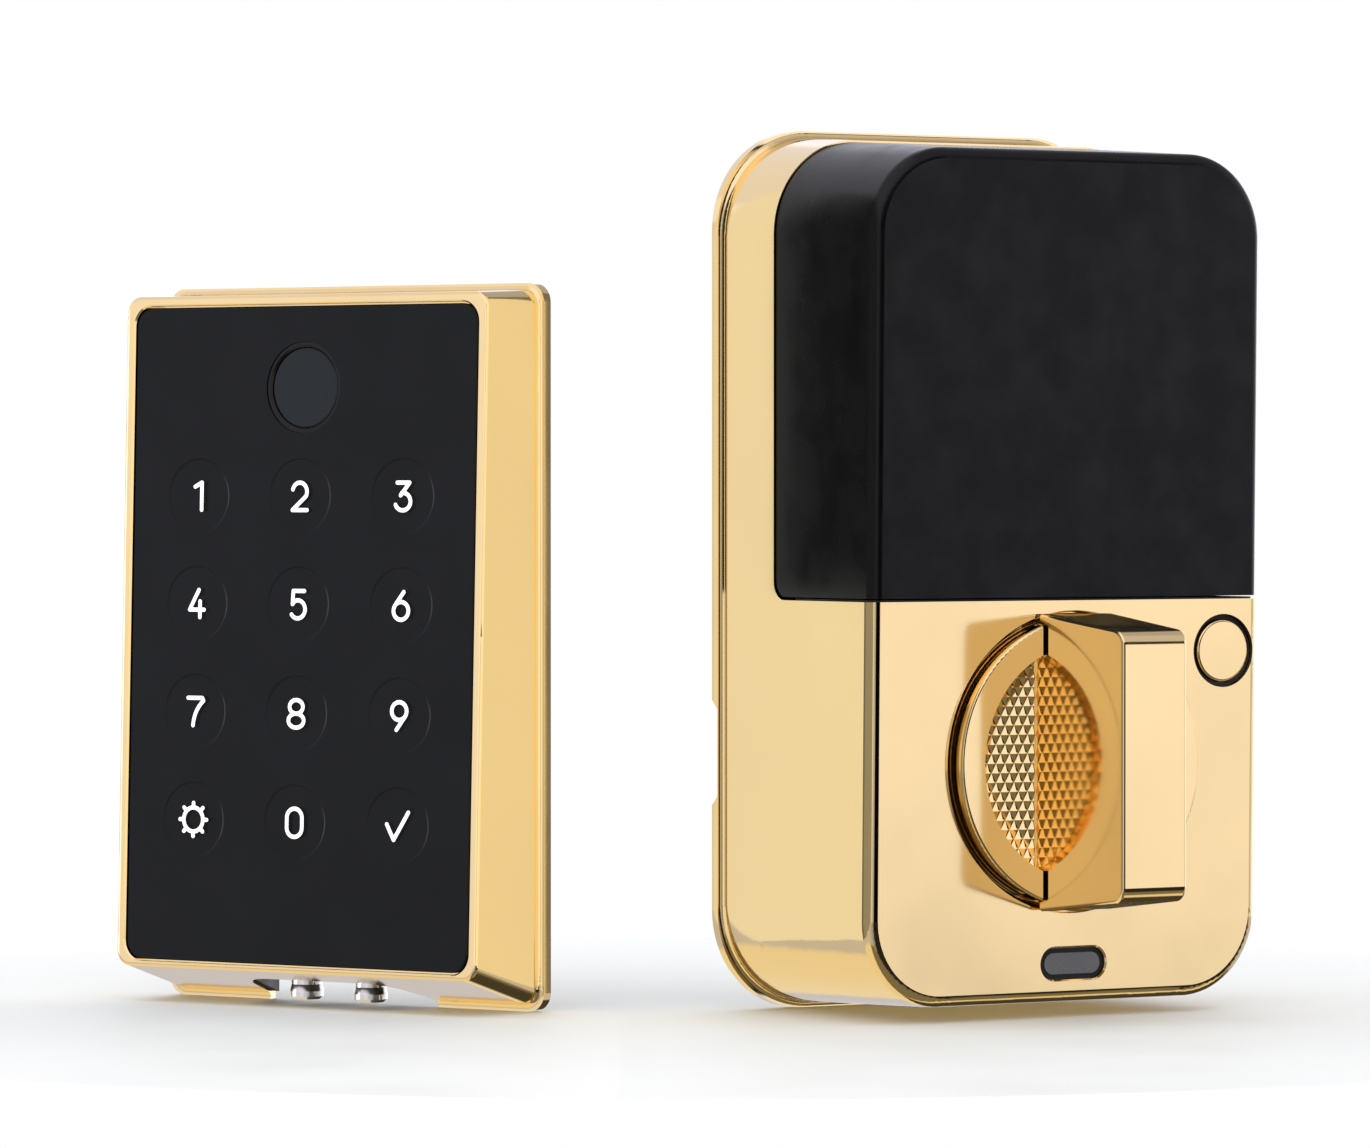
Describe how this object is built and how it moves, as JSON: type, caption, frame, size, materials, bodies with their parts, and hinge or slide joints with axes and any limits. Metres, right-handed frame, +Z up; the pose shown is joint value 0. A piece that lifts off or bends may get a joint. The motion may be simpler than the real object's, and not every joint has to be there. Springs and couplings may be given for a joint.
{
  "type": "keypad smart lock",
  "caption": "Electronic deadbolt trim: a touch keypad unit with fingerprint reader and an inside unit with thumb turn, lock button, drive gears and a sliding battery cover.",
  "frame": {"origin": "under the middle of the common box of both units, on the surface they stand on", "axes": "+Z up; +Y is the way the back of the inside unit faces, towards the door; +X is to the right seen from the front of the inside unit. The keypad unit is turned 66 degrees about Z."},
  "size_m": [0.1454, 0.1442, 0.1394],
  "materials": {
    "polished_brass": "polished, lacquered",
    "satin_black": "satin powder coat",
    "black_glass": "satin touch surface",
    "sensor_glass": "smooth dark glass",
    "smoked_lens": "smoked, frosted",
    "plated_steel": "zinc plated",
    "spring_steel": "bright",
    "nickel": "bright nickel",
    "black_plastic": "moulded",
    "white_plastic": "moulded",
    "grey_plastic": "glass filled",
    "gear_plastic": "acetal",
    "pinion_brass": "machined",
    "circuit_board": "solder resist",
    "light_plastic": "translucent",
    "soft_rubber": "foam or silicone",
    "battery_sleeve": "printed sleeve with bright ends"
  },
  "bodies": {
    "root": {"back_plate_screws": "plated_steel", "backup_terminal_left": "nickel", "backup_terminal_right": "nickel", "battery_1": "battery_sleeve", "battery_2": "battery_sleeve", "battery_3": "battery_sleeve", "battery_4": "battery_sleeve", "battery_contacts": "nickel", "battery_springs": "nickel", "battery_tray": "black_plastic", "board_screws": "plated_steel", "button_spring": "soft_rubber", "button_switch": "black_plastic", "buzzer": "black_plastic", "cable_socket": "white_plastic", "control_board": "circuit_board", "control_chips": "black_plastic", "cover_catch": "spring_steel", "drive_motor": "plated_steel", "fingerprint_sensor": "sensor_glass", "front_board": "circuit_board", "gearbox_cover": "grey_plastic", "gearbox_frame": "grey_plastic", "gearbox_screws": "plated_steel", "housing_screws": "plated_steel", "idler_pin": "plated_steel", "interior_housing": "polished_brass", "keypad_back_plate": "black_plastic", "keypad_board": "circuit_board", "keypad_chips": "black_plastic", "keypad_connector": "white_plastic", "keypad_housing": "polished_brass", "legend_light_guide": "light_plastic", "mounting_plate": "plated_steel", "mounting_posts": "plated_steel", "panel_seal": "soft_rubber", "plate_posts": "plated_steel", "rear_gasket": "soft_rubber", "sensor_bezel": "satin_black", "sensor_module": "plated_steel", "spindle_bushing": "gear_plastic", "status_light": "light_plastic", "status_window": "smoked_lens", "terminal_holder": "black_plastic", "thrust_washer": "spring_steel", "touch_panel": "black_glass", "tray_screw": "plated_steel"},
    "thumb_turn": {"turn_disc": "polished_brass", "turn_lever": "polished_brass", "lever_screws": "plated_steel", "turn_spindle": "plated_steel", "spindle_clip": "spring_steel", "output_gear": "gear_plastic"},
    "idler": {"idler_gear": "gear_plastic"},
    "pinion": {"motor_pinion": "pinion_brass"},
    "lock_button": {"lock_button": "polished_brass"},
    "battery_cover": {"battery_cover": "satin_black"}
  },
  "joints": [
    {"name": "thumb_turn", "type": "hinge", "parent": "root", "child": "thumb_turn", "pos_m": [0.0356, -0.00682, 0.04], "axis": [0, -1, 0], "range_deg": [-90, 90]},
    {"name": "idler_spin", "type": "hinge", "parent": "root", "child": "idler", "pos_m": [0.01972, -0.00682, 0.02412], "axis": [0, -1, 0], "range_deg": [-226, 226]},
    {"name": "pinion_spin", "type": "hinge", "parent": "root", "child": "pinion", "pos_m": [0.01249, -0.00682, 0.0116], "axis": [0, -1, 0], "range_deg": [-676, 676]},
    {"name": "lock_button_press", "type": "slide", "parent": "root", "child": "lock_button", "axis": [0, 1, 0], "range_m": [0, 0.0008], "stiffness_N_per_m": 1500, "springref_m": -0.0005, "deforming": ["button_spring"]},
    {"name": "battery_cover_slide", "type": "slide", "parent": "root", "child": "battery_cover", "axis": [0, 0, 1], "range_m": [0, 0.07]}
  ],
  "couplings": [
    {"joint": "idler_spin", "follows": "thumb_turn", "ratio": -2.5},
    {"joint": "pinion_spin", "follows": "thumb_turn", "ratio": 7.5}
  ]
}
